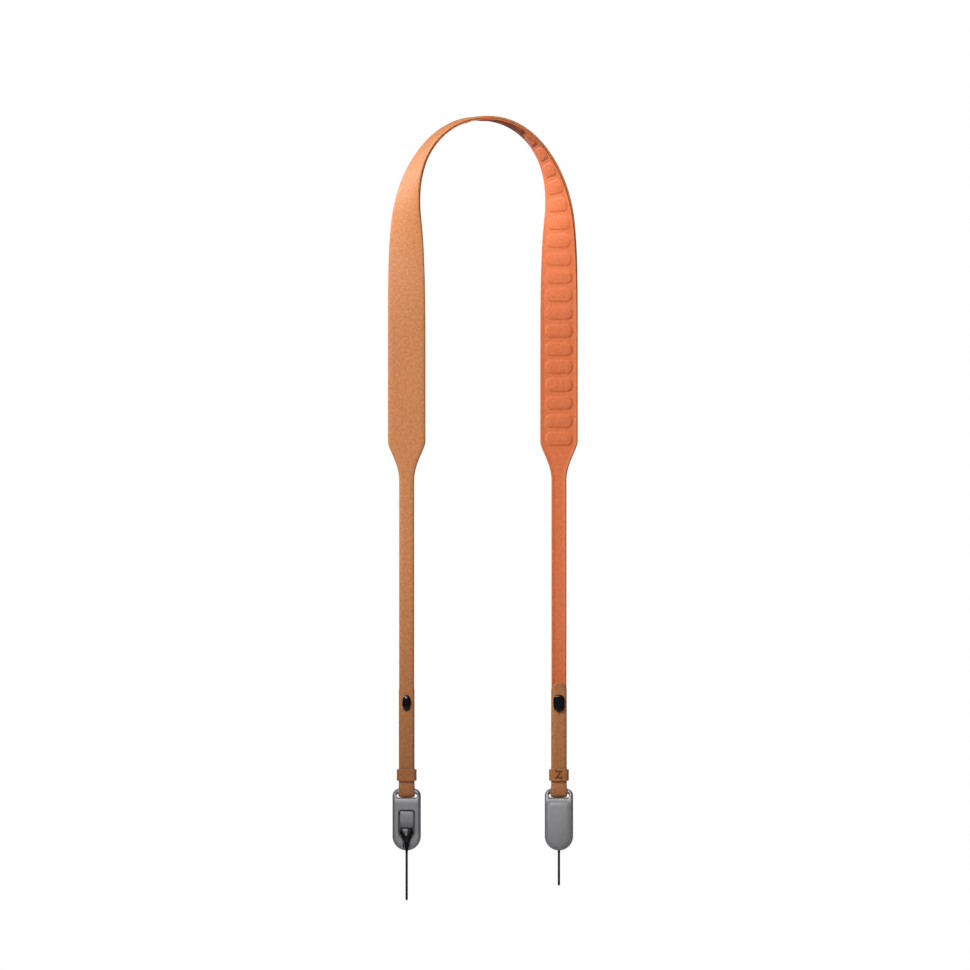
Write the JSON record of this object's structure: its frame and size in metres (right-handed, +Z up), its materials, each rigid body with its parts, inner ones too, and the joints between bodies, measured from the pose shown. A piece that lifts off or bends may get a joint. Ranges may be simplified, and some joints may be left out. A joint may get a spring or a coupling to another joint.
{
  "type": "camera neck strap",
  "caption": "Leather camera neck strap with a padded lining, folded and studded ends, and a spring-button quick release with a cord lug loop at each end.",
  "frame": {"origin": "the lowest point of the padded underside at the top of the loop, where a neck or a peg carries the strap", "axes": "+Z up, +X from the left leg to the right leg as the picture shows them, +Y away from the viewer; the left leg's outer face looks to -Y and the right leg's to +Y"},
  "size_m": [0.1522, 0.0304, 0.6273],
  "materials": {
    "tan_leather": "smooth full-grain tan leather with a fine grain and burnished edges",
    "orange_lining": "soft matte orange leather, pressed into raised pads",
    "black_metal": "gloss black plated metal",
    "grey_shell": "matte grey coat, finely blasted",
    "black_rubber": "satin moulded black",
    "black_cord": "tightly braided thin black cord"
  },
  "bodies": {
    "strap": {"outer_leather": "tan_leather", "inner_lining": "orange_lining", "left_keeper": "tan_leather", "left_stud": "black_metal", "left_housing": "grey_shell", "left_back_plate": "grey_shell", "left_anchor": "black_rubber", "left_cord_loop": "black_cord", "right_keeper": "tan_leather", "right_stud": "black_metal", "right_housing": "grey_shell", "right_back_plate": "grey_shell", "right_anchor": "black_rubber", "right_cord_loop": "black_cord"},
    "left_button": {"left_button": "grey_shell"},
    "right_button": {"right_button": "grey_shell"}
  },
  "joints": [
    {"name": "left_button_press", "type": "slide", "parent": "strap", "child": "left_button", "axis": [0, 1, 0], "range_m": [0, 0.002], "stiffness_N_per_m": 1200},
    {"name": "right_button_press", "type": "slide", "parent": "strap", "child": "right_button", "axis": [0, -1, 0], "range_m": [0, 0.002], "stiffness_N_per_m": 1200}
  ]
}
